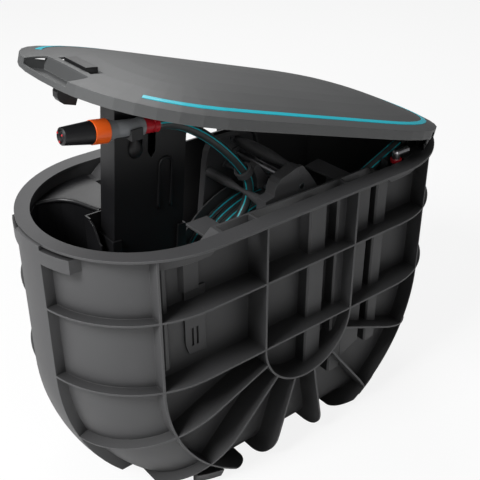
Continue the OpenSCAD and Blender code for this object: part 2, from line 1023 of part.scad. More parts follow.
// The near plate's head carries the guide and has a deeper border than the rest.
module reel_plate_near() {
    color("#2b2b2b") {
        plate(near_outline, near_y, border_d, near_y, [
            [reel_pos, bush_r],
            [bar_pos, bar_end_d / 2 + running],
            [screw_pos, screw_end_d / 2 + running],
            [rod_pos, rod_d / 2 + running],
            [roller_pos, roller_pin_d / 2 + running]
        ]);
        slab(near_y + border_d - 1, head_d - border_d + 1)
            intersection() {
                difference() {
                    polygon(near_outline);
                    polygon(shrunk(near_outline, plate_rim));
                    translate(bar_pos)
                        circle(r = bar_end_d / 2 + fine);
                }
                translate([-far / 2, head_z])
                    square([far / 2 + head_x, far]);
            }
    }
}

module reel_plate_far() {
    color("#2b2b2b")
        mirror([0, 1, 0])
            plate(far_outline, -far_plate_y, far_plate_y - far_y, -far_plate_y, [
                [reel_pos, far_bush_r],
                [bar_pos, bar_end_d / 2 + running],
                [screw_pos, screw_d / 2 + running],
                [rod_pos, rod_d / 2 + running],
                [roller_pos, roller_pin_d / 2 + running],
                [idler_pos, idler_stud_d / 2 + running]
            ]);
}

module bush(r, bore, h, flange_h) {
    difference() {
        union() {
            cylinder(h = h, r = r - running);
            translate([0, 0, h - flange_h])
                cylinder(h = flange_h, r = r + 4);
        }
        translate([0, 0, -1])
            cylinder(h = h + 2, r = bore);
    }
}

module axle_bushes() {
    lip = 1.5;
    color("silver") {
        turned(reel_pos, near_y)
            bush(bush_r, 8 + running, 8 + lip, lip);
        turned(reel_pos, far_plate_y)
            mirror([0, 0, 1])
                bush(far_bush_r, axle_d / 2 + running, 8 + lip, lip);
    }
}

module reel_axle() {
    r = axle_d / 2;
    shoulder = 10;
    color("silver")
        turned(reel_pos, near_y)
            rotate_extrude()
                polygon([[0, 0], [8, 0], [8, shoulder], [r, shoulder], [r, case_y + case_w - 6 - near_y],
                    [0, case_y + case_w - 6 - near_y]]);
}

module reel_spool() {
    wide = disc_far_y + disc_t - disc_near_y;
    bore = axle_d / 2 + running;
    color("#303030")
        turned(reel_pos, disc_near_y)
            difference() {
                rotate_extrude() {
                    for (y = [0, wide - disc_t])
                        translate([bore, y])
                            square([disc_d / 2 - bore, disc_t]);
                    translate([hub_d / 2 - 3, 0])
                        square([3, wide]);
                    translate([bore, 0])
                        square([6, wide]);
                }
                for (a = [0:60:300])
                    rotate(a)
                        translate([58, 0, -1])
                            cylinder(h = wide + 2, r = 24);
            }
}

module inner_turns() {
    y0 = disc_near_y + disc_t + fine;
    wide = disc_far_y - fine - y0;
    r = inner_r - hose_d / 2;
    color("#c9c9c4")
        turned(reel_pos, y0)
            rotate_extrude() {
                translate([hub_d / 2 + fine, 0])
                    square([r - hub_d / 2 - fine, wide]);
                for (y = [hose_d / 2:hose_pitch:wide - hose_d / 2])
                    translate([r, y])
                        circle(d = hose_d);
            }
}

// Outer layer: a helix round the reel with a straight length of one diameter at either end.
wound_steps = floor(hose_turns * 360 / loop_step);
function wound_at(a) = [
    reel_x + wound_r * cos(a),
    feed_y + hose_pitch * (a - lead_angle) / 360,
    reel_z + wound_r * sin(a)
];
function wound_way(a) = unit([-wound_r * sin(a), hose_pitch / (2 * PI), wound_r * cos(a)]);
last_angle = lead_angle + loop_step * wound_steps;
lead_in = wound_at(lead_angle) - hose_d * wound_way(lead_angle);
lead_out = wound_at(last_angle) + hose_d * wound_way(last_angle);
wound_path = [
    lead_in,
    for (i = [0:wound_steps]) wound_at(lead_angle + loop_step * i),
    lead_out
];
wound_gap = min([
    for (i = [0:len(wound_path) - 14], j = [i + 13:len(wound_path) - 1])
        norm(wound_path[i] - wound_path[j])
]) - hose_d;
echo(least_gap_of_the_wound_hose = wound_gap);

// Rings square to a path that never runs along Y.
function ring_round(c, t, r, n) =
    let (
        side = [0, 1, 0],
        u = unit(side - (side * t) * t),
        v = cross(u, t)
    )
        [for (k = [0:n - 1]) c + r * cos(360 * k / n) * u + r * sin(360 * k / n) * v];

module tube(path, r, n) {
    last = len(path) - 1;
    points = [
        for (i = [0:last])
            each ring_round(path[i], unit(path[min(i + 1, last)] - path[max(i - 1, 0)]), r, n)
    ];
    polyhedron(points, skin_faces(last + 1, n));
}

module wound_hose() {
    color("#d4d4cf")
        tube(wound_path, hose_d / 2, 6);
}

module along(p, t) {
    translate(p)
        rotate([0, acos(t.z / norm(t)), atan2(t.y, t.x)])
            children();
}

// The end of the outer layer dives into the layer below.
module hose_stub() {
    straight = 12;
    dive = 40;
    way = wound_way(last_angle);
    inward = [-cos(last_angle), 0, -sin(last_angle)];
    color("#d4d4cf")
        difference() {
            union() {
                along(lead_out, way)
                    cylinder(h = straight, d = hose_d);
                along(lead_out + 6.5 * way, cos(dive) * way + sin(dive) * inward)
                    cylinder(h = 38, d = hose_d - 0.6);
            }
            turned(reel_pos, disc_near_y)
                cylinder(h = 140, r = inner_r);
        }
}

// Gear outline with a tooth centred on the X axis.
function flank(base, r) = sqrt(pow(r / base, 2) - 1) * 180 / PI - acos(base / r);
function gear_points(n) =
    let (
        m = gear_module,
        pitch_r = m * n / 2,
        base = pitch_r * cos(20),
        tip = pitch_r + 0.95 * m,
        root = pitch_r - 1.2 * m,
        low = max(base, root + 0.3),
        half = 90 / n - 0.15 / pitch_r * 180 / PI + flank(base, pitch_r),
        radii = [for (i = [0:4]) low + (tip - low) * i / 4]
    )
        [
            for (k = [0:n - 1])
                each [
                    for (q = concat(
                        [[root, -(half - flank(base, low)) - 0.5]],
                        [for (r = radii) [r, flank(base, r) - half]],
                        [for (i = [4:-1:0]) [radii[i], half - flank(base, radii[i])]],
                        [[root, half - flank(base, low) + 0.5]]
                    ))
                        [q[0] * cos(q[1] + 360 * k / n), q[0] * sin(q[1] + 360 * k / n)]
                ]
        ];

train_way = 90 + train_lean;

module gear(n, pos, phase, bore) {
    translate([pos.x, gear_y + gear_w, pos.y])
        rotate([90, 0, 0])
            linear_extrude(gear_w)
                difference() {
                    rotate(phase)
                        polygon(gear_points(n));
                    circle(bore);
                }
}

module reel_gear() {
    color("#b9b9b4")
        gear(reel_teeth, reel_pos, train_way, axle_d / 2 + running);
}

module idler_gear() {
    color("#b9b9b4")
        gear(idler_teeth, idler_pos, train_way + 180 / idler_teeth, idler_stud_d / 2 + running);
}

module screw_gear() {
    color("#b9b9b4")
        gear(pinion_teeth, screw_pos, train_way + 180, screw_d / 2 + running);
}

module idler_stud() {
    color("silver")
        turned(idler_pos, far_plate_y - 8)
            union() {
                cylinder(h = 8 + gear_w + 5, d = idler_stud_d);
                translate([0, 0, 8])
                    cylinder(h = 3 - fine, d = idler_stud_d + 6);
                translate([0, 0, 11 + gear_w + fine])
                    cylinder(h = 2, d = idler_stud_d + 6);
            }
}

module guide_screw() {
    color("silver")
        turned(screw_pos, near_y)
            union() {
                cylinder(h = 10, d = screw_end_d);
                translate([0, 0, 8.5])
                    cylinder(h = gear_y + gear_w + 1 - near_y - 8.5, d = screw_d);
            }
}

// Cross bar with a thick middle; its ends are held in the plates.
module guide_top_bar() {
    r0 = bar_end_d / 2;
    r1 = bar_d / 2;
    start = head_d + fine;
    end = far_y - near_y - fine;
    color("#3a3a3a")
        turned(bar_pos, near_y)
            rotate_extrude()
                polygon([[0, 0], [r0, 0], [r0, start + 10], [r1, start + 58], [r1, end - 40], [r0 + 1.5, end],
                    [r0, end], [r0, far_plate_y - near_y], [0, far_plate_y - near_y]]);
}

module guide_rod() {
    color("silver")
        turned(rod_pos, near_y)
            cylinder(h = far_plate_y - near_y, d = rod_d);
}

// Carriage: an eye round the hose, an arm behind it, a sleeve on the rod and a follower under the screw.
module hose_carriage() {
    arm_r = roll_r + eye_bore / 2 + 2;
    arm_turn = 31;
    sleeve_r = rod_d / 2 + 4.5;
    follower = [screw_pos.x + 10, screw_pos.y - screw_d / 2 - fine];
    eye_at = roll_at + roll_r * [cos(roll_from + 90), sin(roll_from + 90)] - 3 * [cos(roll_from), sin(roll_from)];
    color("#383838")
        difference() {
            union() {
                slab(feed_y - carriage_w / 2, carriage_w) {
                    polygon([
                        for (a = [0:arm_turn / 4:arm_turn]) roll_at + arm_r * [cos(a), sin(a)],
                        roll_at + (arm_r + 13) * [cos(arm_turn), sin(arm_turn)],
                        rod_pos + [sleeve_r, sleeve_r],
                        rod_pos + [sleeve_r, 0]
                    ]);
                    translate(rod_pos)
                        circle(sleeve_r);
                    translate([rod_pos.x, rod_pos.y - sleeve_r])
                        square([follower.x - rod_pos.x, sleeve_r]);
                    translate([screw_pos.x - 10, rod_pos.y - sleeve_r])
                        square([20, follower.y - rod_pos.y + sleeve_r]);
                }
                in_eye(eye_at)
                    cylinder(h = eye_len, d = eye_d, center = true);
            }
            in_eye(eye_at)
                cylinder(h = 3 * eye_len, d = eye_bore, center = true);
            turned(rod_pos, feed_y - carriage_w)
                cylinder(h = 2 * carriage_w, r = rod_d / 2 + running);
        }
}

module in_eye(pos) {
    translate([pos.x, feed_y, pos.y])
        rotate([0, 90 - roll_from, 0])
            children();
}

module roller_pins() {
    color("silver")
        for (y = [near_y, far_plate_y - pin_len_far])
            turned(roller_pos, y)
                cylinder(h = y == near_y ? pin_len_near : pin_len_far, d = roller_pin_d);
}

// Roller as long as the reel is wide, waisted where the hose runs over it.
module guide_roller() {
    r = roller_d / 2;
    bore = roller_pin_d / 2 + running;
    start = near_y + head_d + fine - feed_y;
    end = far_y - fine - feed_y;
    waist = 7;
    color("#4a4a4a")
        turned(roller_pos, feed_y)
            rotate_extrude()
                polygon([[bore, start], [r, start], [r, start + 10], [roller_waist / 2, -waist],
                    [roller_waist / 2, waist], [r, waist + 36], [r, end], [bore, end], [bore, end - pin_in],
                    [0, end - pin_in], [0, start + pin_in], [bore, start + pin_in]]);
}

module spring_case() {
    wall = 3;
    post_r = 92;
    color("#2b2b2b") {
        turned(reel_pos, case_y)
            difference() {
                cylinder(h = case_w, d = case_d);
                translate([0, 0, wall])
                    cylinder(h = case_w - 2 * wall, d = case_d - 2 * wall);
                translate([0, 0, -1])
                    cylinder(h = wall + 2, r = axle_d / 2 + 1);
                for (a = [0:60:300])
                    rotate(a)
                        translate([60, 0, case_w / 2])
                            cylinder(h = case_w, r = 12);
            }
        for (a = [30, 150, 210, 270, 330])
            translate([post_r * cos(a), 0, post_r * sin(a)])
                turned(reel_pos, far_plate_y)
                    cylinder(h = case_y - far_plate_y, r = 5);
    }
}

module drive_spring() {
    turns = 8;
    steps = 24;
    strip = 0.8;
    inner = axle_d / 2 + strip + fine;
    outer = case_d / 2 - 3 - strip - fine;
    radii = [for (i = [0:turns * steps]) inner + (outer - inner) * i / (turns * steps)];
    color("#9aa0a6")
        translate([reel_x, 0, reel_z])
            slab(case_y + 6, 30)
                polygon(concat(
                    [for (i = [0:len(radii) - 1]) (radii[i] + strip) * [cos(360 * i / steps), sin(360 * i / steps)]],
                    [
                        for (i = [len(radii) - 1:-1:0])
                            (radii[i] - strip) * [cos(360 * i / steps), sin(360 * i / steps)]
                    ]
                ));
}

// Water way: a swivel elbow on the reel's end, a short hose and its socket on the corner cover.
elbow_y = -128;
elbow_r = 11;
elbow_up = 25;

module swivel_elbow() {
    color("#1a1a1a") {
        turned(reel_pos, elbow_y) {
            cylinder(h = near_y - elbow_y, r = elbow_r);
            translate([0, 0, near_y - elbow_y - 3])
                cylinder(h = 3, r = elbow_r + 8);
        }
        translate([reel_x, elbow_y, reel_z]) {
            sphere(r = elbow_r);
            cylinder(h = elbow_up, r = elbow_r);
        }
    }
}

supply_bend = 70;
supply_turn = 69;
supply_end = [258, -124, tub_h + 9];
bend_at = [reel_x + supply_bend, tub_h - 118];
bend_end = [bend_at.x - supply_bend * cos(supply_turn), elbow_y, bend_at.y + supply_bend * sin(supply_turn)];
supply_path = [
    for (i = [0:3]) [reel_x, elbow_y, reel_z + elbow_up + (bend_at.y - reel_z - elbow_up) * i / 3],
    for (i = [1:9])
        let (a = 180 - supply_turn * i / 9)
            [bend_at.x + supply_bend * cos(a), elbow_y, bend_at.y + supply_bend * sin(a)],
    for (i = [1:5]) bend_end + (supply_end - bend_end) * i / 5
];

module supply_hose() {
    color("#c9c9c4")
        tube(supply_path, hose_d / 2, 12);
}

module supply_socket() {
    way = unit(supply_end - bend_end);
    color("#1a1a1a") {
        translate([268, -138, tub_h])
            cube([24, 30, 19]);
        intersection() {
            along(supply_end, way)
                cylinder(h = 26, d = hose_d + 5);
            translate([200, -160, tub_h])
                cube([80, 60, 19]);
        }
    }
}

module supply_connector() {
    color("silver") {
        translate([221, -155, ledge_z])
            cylinder(h = ledge_drop + 10, d = 14);
        translate([221, -155, tub_h + 10]) {
            sphere(d = 14);
            rotate([0, 90, 0])
                cylinder(h = 26, d = 14);
        }
    }
}

module supply_ring() {
    color("#7c1f24")
        translate([221, -155, tub_h - 6])
            difference() {
                cylinder(h = 6, d = 20);
                translate([0, 0, -1])
                    cylinder(h = 8, d = 14 + 2 * running);
            }
}

// Hose from the nozzle over the guide roller to the reel.
function bezier(a, b, c, d, t) =
    pow(1 - t, 3) * a + 3 * t * pow(1 - t, 2) * b + 3 * t * t * (1 - t) * c + pow(t, 3) * d;

function on_roll(way) = [roll_at.x + roll_r * cos(way + 90), feed_y, roll_at.y + roll_r * sin(way + 90)];
nozzle_way = [cos(nozzle_tilt), 0, -sin(nozzle_tilt)];
feed_start = [nozzle_x, nozzle_y, nozzle_z] + (coupling_len + running) * nozzle_way;
feed_path = [
    feed_start,
    for (i = [0:10])
        bezier(feed_start + 8 * nozzle_way, feed_start + 66 * nozzle_way,
            on_roll(roll_from) - 60 * [cos(roll_from), 0, sin(roll_from)], on_roll(roll_from), i / 10),
    for (i = [1:6]) on_roll(roll_from + (roll_to - roll_from) * i / 6),
    on_roll(roll_to) + (lead_in - on_roll(roll_to)) / 2,
    lead_in - 8 * wound_way(lead_angle),
    lead_in - running * wound_way(lead_angle)
];

module feed_hose() {
    color("#d4d4cf")
        tube(feed_path, hose_d / 2, 12);
}

module rear_strut() {
    strut_x = 112;
    strut_w = 38;
    strut_t = 3;
    strut_end = -39;
    color("#3a3a3a")
        translate([0, 0, tub_h - 24])
            linear_extrude(strut_t)
                polygon([[strut_x, near_y], [strut_x + strut_w, near_y], [strut_x + strut_w - 2, strut_end],
                    [strut_x - 2, strut_end - 7]]);
}

// Wedge under the lid with two arms that carry the hook's pin.
module latch_housing() {
    half = 17;
    arm_t = 6;
    wedge_x = latch_pos.x + 29;
    top = dome_z(wedge_x, latch_y + half) - lid_t - fine;
    color("#2b2b2b")
        open_by(lid_open) {
            slab(latch_y - half, 2 * half)
                polygon([[wedge_x, top], [wedge_x + 2, tub_h - 12], [wedge_x + 8, tub_h - 19],
                    [wedge_x + 16, tub_h - 22], [wedge_x + 30, tub_h - 20], [wedge_x + 38, tub_h - 12],
                    [wedge_x + 38, top]]);
            for (y = [-half, half - arm_t])
                slab(latch_y + y, arm_t)
                    polygon([[latch_pos.x - 6, tub_h - 11], [latch_pos.x - 6, tub_h - 1], [wedge_x + 4, tub_h - 1],
                        [wedge_x + 4, tub_h - 11]]);
            turned(latch_pos, latch_y - half + 1)
                cylinder(h = 2 * half - 2, d = latch_pin_d);
        }
}

// C-shaped hook, open towards the hinge.
module latch_hook() {
    half = 7;
    color("#1a1a1a")
        open_by(lid_open)
            difference() {
                slab(latch_y - half, 2 * half)
                    translate(latch_pos) {
                        circle(5);
                        polygon([[-4, 3], [-10, 0], [-12, -9], [-10, -17], [-5, -22], [2, -25], [21, -25], [22, -13],
                            [11, -12], [5, -8], [4, -3], [4, 3]]);
                    }
                turned(latch_pos, latch_y - half - 1)
                    cylinder(h = 2 * half + 2, d = latch_pin_d + 2 * running);
            }
}

module lock_slider() {
    slope = 8.8;
    play = 0.5;
    half = 30;
    lip = 2;
    sunk = 7;
    color("#1a1a1a")
        open_by(lid_open)
            translate([lock_x, lock_y, dome_z(lock_x, lock_y)])
                rotate([0, -slope, 0]) {
                    translate([play - lock_w / 2, -half, -sunk])
                        cube([lock_w - 2 * play, 2 * half, sunk + 4]);
                    translate([-lock_w / 2 - lip, -half - 2 * lip, -sunk])
                        cube([lock_w + 2 * lip, 2 * (half + 2 * lip), lip]);
                }
}

tub();
storage_tray();
connector_cover();
hinge_bracket();
hinge_pin();
hinge_leaf_1();
hinge_leaf_2();
hinge_ear();
lid_shell();
lid_trim();
lid_bracket();
lock_slider();
latch_housing();
latch_hook();
tower_shell();
tower_guide();
tower_pin();
nozzle_cradle();
nozzle_tip();
nozzle_ring();
nozzle_body();
nozzle_coupling();
reel_plate_near();
reel_plate_far();
axle_bushes();
reel_axle();
reel_spool();
inner_turns();
wound_hose();
hose_stub();
reel_gear();
idler_gear();
idler_stud();
screw_gear();
guide_screw();
guide_top_bar();
guide_rod();
guide_roller();
roller_pins();
hose_carriage();
spring_case();
drive_spring();
swivel_elbow();
supply_hose();
supply_socket();
supply_connector();
supply_ring();
feed_hose();
rear_strut();
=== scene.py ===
"""Looks of the hose box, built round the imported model. Metres, in the model's own frame."""

import math

import bpy
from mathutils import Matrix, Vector


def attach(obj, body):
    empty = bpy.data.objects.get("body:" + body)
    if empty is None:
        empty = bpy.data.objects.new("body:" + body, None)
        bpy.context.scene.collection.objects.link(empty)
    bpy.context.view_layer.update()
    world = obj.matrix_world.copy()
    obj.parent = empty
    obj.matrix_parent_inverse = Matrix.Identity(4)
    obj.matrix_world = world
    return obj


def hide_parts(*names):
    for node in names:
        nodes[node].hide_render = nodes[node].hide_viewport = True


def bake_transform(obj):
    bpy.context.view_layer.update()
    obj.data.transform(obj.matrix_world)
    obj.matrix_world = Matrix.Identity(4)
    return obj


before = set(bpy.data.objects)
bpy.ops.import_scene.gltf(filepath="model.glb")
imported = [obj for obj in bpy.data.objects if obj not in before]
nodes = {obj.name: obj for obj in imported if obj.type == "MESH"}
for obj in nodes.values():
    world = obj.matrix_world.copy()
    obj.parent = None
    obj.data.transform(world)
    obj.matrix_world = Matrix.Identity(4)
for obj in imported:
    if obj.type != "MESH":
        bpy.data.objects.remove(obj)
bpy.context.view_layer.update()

MM = 0.001
WHITE = (1, 1, 1, 1)
SIDEWAYS = Vector((0, 1, 0))


# Helpers


def add_object(name, data):
    """A new object of the scene."""
    item = bpy.data.objects.new(name, data)
    bpy.context.scene.collection.objects.link(item)
    return item


def add_mesh(name, points, faces, material, smooth=False):
    """A new object of the scene from bare points and faces."""
    mesh = bpy.data.meshes.new(name)
    mesh.from_pydata(points, [], faces)
    mesh.materials.append(material)
    for face in mesh.polygons:
        face.use_smooth = smooth
    return add_object(name, mesh)


def ring_faces(rings, sides, first=0):
    """Quads that join each ring of points to the next, from point number first on."""
    faces = []
    for i in range(rings - 1):
        for k in range(sides):
            a, b = first + i * sides + k, first + i * sides + (k + 1) % sides
            faces.append((a, a + sides, b + sides, b))
    return faces


def add_node(tree, kind, values=(), **settings):
    """A shader node with its settings and the values of its sockets."""
    node = tree.nodes.new("ShaderNode" + kind)
    for name, value in settings.items():
        setattr(node, name, value)
    for name, value in dict(values).items():
        node.inputs[name].default_value = value
    return node


# Camera and light

PHOTO_SIDE = 480  # the photograph's pixels
FOCAL = 849  # in the same pixels
SENSOR = 36  # mm


def add_camera():
    """The photograph's view, as fitted to it."""
    azimuth, elevation, distance = math.radians(38.83), math.radians(30.27), 1.527
    target = Vector((0.0004, 0, 0.351))
    way = Vector((
        math.sin(azimuth) * math.cos(elevation),
        math.cos(azimuth) * math.cos(elevation),
        -math.sin(elevation),
    ))
    camera = add_object("camera", bpy.data.cameras.new("camera"))
    camera.location = target - distance * way
    camera.rotation_euler = way.to_track_quat("-Z", "Y").to_euler()
    camera.data.sensor_width = SENSOR
    camera.data.lens = FOCAL / PHOTO_SIDE * SENSOR
    camera.data.clip_end = 40
    bpy.context.scene.camera = camera


def add_lamp(name, place, aim, size, power):
    """A round soft lamp."""
    data = bpy.data.lights.new(name, "AREA")
    data.shape = "DISK"
    data.size = size
    data.energy = power
    lamp = add_object(name, data)
    lamp.location = place
    lamp.rotation_euler = (Vector(aim) - Vector(place)).to_track_quat("-Z", "Y").to_euler()


def mix_for_camera(tree, out, lit, seen, share=1.0):
    """Show the camera the given share of seen, and everything else lit."""
    link = tree.links.new
    mix = add_node(tree, "MixShader")
    ray = add_node(tree, "LightPath").outputs["Is Camera Ray"]
    if share < 1:
        part = add_node(tree, "Math", operation="MULTIPLY")
        part.inputs[1].default_value = share
        link(ray, part.inputs[0])
        ray = part.outputs[0]
    link(ray, mix.inputs[0])
    link(lit.outputs[0], mix.inputs[1])
    link(seen.outputs[0], mix.inputs[2])
    link(mix.outputs[0], add_node(tree, out).inputs[0])


def add_world(ambient):
    """A white world whose light on the object is weak."""
    world = bpy.data.worlds.new("studio")
    bpy.context.scene.world = world
    world.use_nodes = True
    tree = world.node_tree
    tree.nodes.clear()
    seen = add_node(tree, "Background", {"Color": WHITE})
    lit = add_node(tree, "Background", {"Color": WHITE, "Strength": ambient})
    mix_for_camera(tree, "OutputWorld", lit, seen)


def add_floor(half, share):
    """A pale floor that still shows the object's shadow."""
    mat = bpy.data.materials.new("floor")
    mat.use_nodes = True
    tree = mat.node_tree
    tree.nodes.clear()
    matte = add_node(tree, "BsdfDiffuse", {"Color": (0.85, 0.85, 0.85, 1)})
    glow = add_node(tree, "Emission", {"Color": WHITE})
    mix_for_camera(tree, "OutputMaterial", matte, glow, share)
    corners = [(-half, -half, 0), (half, -half, 0), (half, half, 0), (-half, half, 0)]
    floor = add_mesh("floor", corners, [(0, 1, 2, 3)], mat)


# Materials

BEVEL_SAMPLES = 4
ROUND_EDGE = 0.0012
HIGHLIGHT_RADIUS = 0.0015
GLOSS_SWING = 0.06


def tint(colour, gain, lift=0.0):
    return tuple(min(1, c * gain + lift) for c in colour) + (1,)


def add_edge_highlight(tree, base, colour, edge):
    """Painted highlight: a lighter colour along edges, where the bevelled normal leaves the true one."""
    link = tree.links.new
    bevel = add_node(tree, "Bevel", {"Radius": HIGHLIGHT_RADIUS}, samples=BEVEL_SAMPLES)
    geometry = add_node(tree, "NewGeometry")
    dot = add_node(tree, "VectorMath", operation="DOT_PRODUCT")
    link(bevel.outputs[0], dot.inputs[0])
    link(geometry.outputs["Normal"], dot.inputs[1])
    highlit = add_node(tree, "MapRange", {"From Min": 1, "From Max": 0.7, "To Max": edge})
    link(dot.outputs["Value"], highlit.inputs["Value"])
    lighter = add_node(tree, "Mix", {"B": tint(colour, 1.8, 0.03)}, data_type="RGBA")
    link(highlit.outputs[0], lighter.inputs["Factor"])
    link(base, lighter.inputs["A"])
    return lighter.outputs["Result"]


def add_painted_shade(tree, base, painted_shade):
    """Painted shade: a darker colour in deep recesses, as ambient occlusion finds them."""
    link = tree.links.new
    shade = add_node(tree, "AmbientOcclusion", {"Distance": 0.1}, samples=6)
    deep = add_node(tree, "MapRange", {"From Min": 0.3, "From Max": 0.85, "To Min": 1 - painted_shade})
    link(shade.outputs["AO"], deep.inputs["Value"])
    darker = add_node(tree, "VectorMath", operation="SCALE")
    link(base, darker.inputs[0])
    link(deep.outputs[0], darker.inputs["Scale"])
    return darker.outputs["Vector"]


def plastic(name, colour, rough, grain=900, depth=0.00012, vary=0.12, edge=0.0, metal=0.0, painted_shade=0.0):
    """Moulded plastic or metal.

    grain and depth are the scale and height of the fine bump, vary is the slow change of colour, edge is
    the painted highlight along edges, and the last argument is the painted shade, how much darker deep
    recesses are.
    """
    mat = bpy.data.materials.new(name)
    mat.use_nodes = True
    tree = mat.node_tree
    link = tree.links.new
    shader = tree.nodes["Principled BSDF"]
    shader.inputs["Metallic"].default_value = metal
    where = add_node(tree, "TexCoord").outputs["Object"]

    slow = add_node(tree, "TexNoise", {"Scale": 9, "Detail": 5})
    link(where, slow.inputs["Vector"])
    tone = add_node(tree, "ValToRGB")
    for stop, gain in zip(tone.color_ramp.elements, (1 - vary, 1 + vary)):
        stop.color = tint(colour, gain)
    link(slow.outputs["Fac"], tone.inputs["Fac"])
    base = tone.outputs["Color"]
    # Painted highlight: a lighter colour along edges.
    if edge:
        base = add_edge_highlight(tree, base, colour, edge)
    # Painted shade: deep recesses darkened by ambient occlusion.
    if painted_shade:
        base = add_painted_shade(tree, base, painted_shade)
    link(base, shader.inputs["Base Color"])

    gloss = add_node(tree, "MapRange", {"To Min": rough - GLOSS_SWING, "To Max": rough + GLOSS_SWING})
    link(slow.outputs["Fac"], gloss.inputs["Value"])
    link(gloss.outputs[0], shader.inputs["Roughness"])

    fine = add_node(tree, "TexNoise", {"Scale": grain, "Detail": 2})
    link(where, fine.inputs["Vector"])
    bump = add_node(tree, "Bump", {"Distance": depth, "Strength": 0.6})
    link(fine.outputs["Fac"], bump.inputs["Height"])
    round_edges = add_node(tree, "Bevel", {"Radius": ROUND_EDGE}, samples=BEVEL_SAMPLES)
    link(round_edges.outputs[0], bump.inputs["Normal"])
    link(bump.outputs[0], shader.inputs["Normal"])
    return mat


# edge paints a highlight along edges, and the last argument of tub and dark paints shade into deep
# recesses.
MATERIALS = {
    "tub": plastic("tub_plastic", (0.058, 0.058, 0.06), 0.52, edge=0.7, painted_shade=0.8),
    "lid": plastic("lid_plastic", (0.075, 0.077, 0.078), 0.5, edge=0.5),
    "dark": plastic("dark_plastic", (0.007, 0.007, 0.008), 0.42, edge=0.35, painted_shade=0.7),
    "reel": plastic("reel_plastic", (0.085, 0.085, 0.088), 0.42, edge=0.4),
    "teal": plastic("teal_plastic", (0.006, 0.5, 0.62), 0.35, vary=0.05),
    "orange": plastic("orange_plastic", (0.86, 0.12, 0.012), 0.3, vary=0.05),
    "grey": plastic("nozzle_grey", (0.24, 0.25, 0.26), 0.4, vary=0.05),
    "red": plastic("red_plastic", (0.5, 0.01, 0.02), 0.3, vary=0.05),
    "steel": plastic("bright_steel", (0.6, 0.6, 0.62), 0.28, grain=500, vary=0.05, metal=1.0),
    "gear": plastic("gear_plastic", (0.42, 0.42, 0.4), 0.45, vary=0.05),
    "hose": plastic("hose_grey", (0.045, 0.05, 0.05), 0.4, grain=600, vary=0.1),
    "stripe": plastic("hose_stripe", (0.012, 0.52, 0.6), 0.35, grain=600, vary=0.1),
}

# The nodes that each material is for. Pieces below replace the five hose nodes.
FINISH = {
    "tub": ("tub", "connector_cover", "hinge_bracket", "hinge_leaf_1", "hinge_leaf_2", "hinge_ear",
            "lid_bracket"),
    "lid": ("lid_shell",),
    "dark": ("storage_tray", "lock_slider", "latch_housing", "latch_hook", "tower_shell", "tower_guide",
             "nozzle_cradle", "nozzle_tip", "swivel_elbow", "supply_socket"),
    "reel": ("reel_plate_near", "reel_plate_far", "reel_spool", "reel_gear", "idler_gear", "screw_gear",
             "guide_top_bar", "guide_roller", "hose_carriage", "spring_case", "rear_strut"),
    "teal": ("lid_trim",),
    "orange": ("nozzle_ring",),
    "grey": ("nozzle_body",),
    "red": ("nozzle_coupling", "supply_ring"),
    "steel": ("hinge_pin", "tower_pin", "reel_axle", "idler_stud", "guide_screw", "guide_rod",
              "roller_pins", "drive_spring", "supply_connector"),
    "gear": ("axle_bushes",),
    "hose": ("hose_stub", "inner_turns", "wound_hose", "supply_hose", "feed_hose"),
}


def finish_nodes():
    for key, names in FINISH.items():
        for name in names:
            mesh = nodes[name].data
            mesh.materials.clear()
            mesh.materials.append(MATERIALS[key])


# Hoses: their routes repeat those of the solids that they replace.

HOSE_R = 8.75 * MM
SKIN_R = HOSE_R * 0.99
HOSE_SIDES = 24
STRIPES = {2, 7, 13, 18}  # faces round the hose that carry its lines
FINE = 0.3 * MM  # gap between wound layers
REEL = Vector((0.05, 0, 0.262))
LAYER_R = 0.157  # outside of the lower layers
WOUND_R = LAYER_R + FINE + HOSE_R
WOUND_ANGLE = 1500  # degrees in the outer layer
FEED_Y = -0.045
PITCH = 0.018
DRUM_Y = -0.0882  # the drum's near end
NOZZLE = Vector((-0.208, -0.028, 0.635))
NOZZLE_TILT = math.radians(8)
ROLL_R = 0.06
ROLL = Vector((-0.03 - ROLL_R + 0.004 + HOSE_R + FINE, FEED_Y, 0.478))
ROLL_FROM = -57  # degrees, the hose's heading where it meets the roller
TO_REEL = REEL - ROLL
ROLL_TO = math.degrees(
    math.atan2(TO_REEL.z, TO_REEL.x)
    - math.asin((ROLL_R + WOUND_R) / math.hypot(TO_REEL.x, TO_REEL.z)))
LEAD = ROLL_TO + 270  # where the hose meets the drum, in degrees round the reel


def smooth_tube(name, path, radius, sides=HOSE_SIDES, stripes=(), key="hose"):
    """A round tube along path. The faces round it that stripes lists take the hose's line colour."""
    points = []
    last = len(path) - 1
    for i, c in enumerate(path):
        way = (path[min(i + 1, last)] - path[max(i - 1, 0)]).normalized()
        u = (SIDEWAYS - SIDEWAYS.dot(way) * way).normalized()
        v = u.cross(way)
        for k in range(sides):
            a = 2 * math.pi * k / sides
            points.append(c + radius * (math.cos(a) * u + math.sin(a) * v))
    faces = ring_faces(last + 1, sides)
    faces.append(tuple(range(sides)))
    faces.append(tuple(last * sides + k for k in reversed(range(sides))))
    piece = add_mesh(name, points, faces, MATERIALS[key], smooth=True)
    mesh = piece.data
    mesh.materials.append(MATERIALS["stripe"])
    for i, face in enumerate(mesh.polygons):
        face.use_smooth = len(face.vertices) == 4
        face.material_index = 1 if face.use_smooth and i % sides in stripes else 0
    return piece


def around(a, radius, y):
    """The point at a degrees round the reel's axis."""
    s = math.radians(a)
    return Vector((REEL.x + radius * math.cos(s), y, REEL.z + radius * math.sin(s)))


def winding(angle, first, radius, y0, step):
    """A helix round the reel through angle degrees, from first, with a point at each step."""
    count = round(angle / step)
    return [around(first + step * i, radius, y0 + PITCH * step * i / 360) for i in range(count + 1)]


